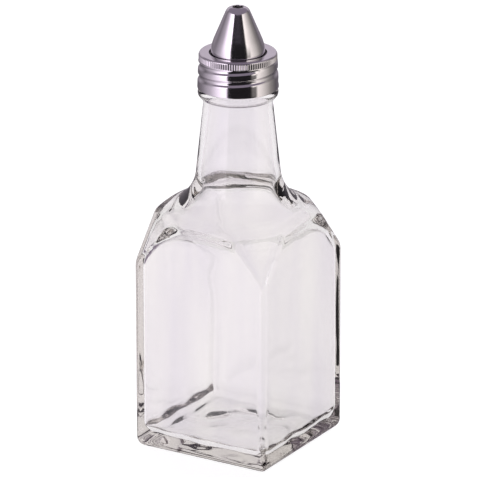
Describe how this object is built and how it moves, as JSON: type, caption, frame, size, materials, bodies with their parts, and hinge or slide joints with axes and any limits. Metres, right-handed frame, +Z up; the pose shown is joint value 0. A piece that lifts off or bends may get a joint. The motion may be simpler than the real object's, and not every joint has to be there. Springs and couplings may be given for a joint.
{
  "type": "square glass oil cruet",
  "caption": "Clear square glass table cruet for oil, with a round threaded neck, a screw-on steel ring and a steel pouring cone over a sealing washer.",
  "frame": {"origin": "centre of the base, at the height of the surface that the bottle stands on", "axes": "+Z up along the axis of the neck, +X and +Y square to the flat sides of the body"},
  "size_m": [0.054, 0.054, 0.162],
  "materials": {
    "clear_glass": "clear, fire polished",
    "ring_steel": "bright, finely brushed round the ring",
    "cone_steel": "bright, finely spun",
    "white_seal": "soft matte"
  },
  "bodies": {
    "bottle": {"glass_bottle": "clear_glass"},
    "spout": {"pour_cone": "cone_steel", "lip_gasket": "white_seal"},
    "cap": {"screw_cap": "ring_steel"}
  },
  "joints": [
    {"name": "cap_lift", "type": "slide", "parent": "bottle", "child": "spout", "axis": [0, 0, 1], "range_m": [0, 0.01695]},
    {"name": "cap_turn", "type": "hinge", "parent": "spout", "child": "cap", "pos_m": [0, 0, 0.1394], "axis": [0, 0, 1], "range_deg": [0, 1440]}
  ],
  "couplings": [
    {"joint": "cap_lift", "follows": "cap_turn", "m_per_rad": 0.0006737}
  ]
}
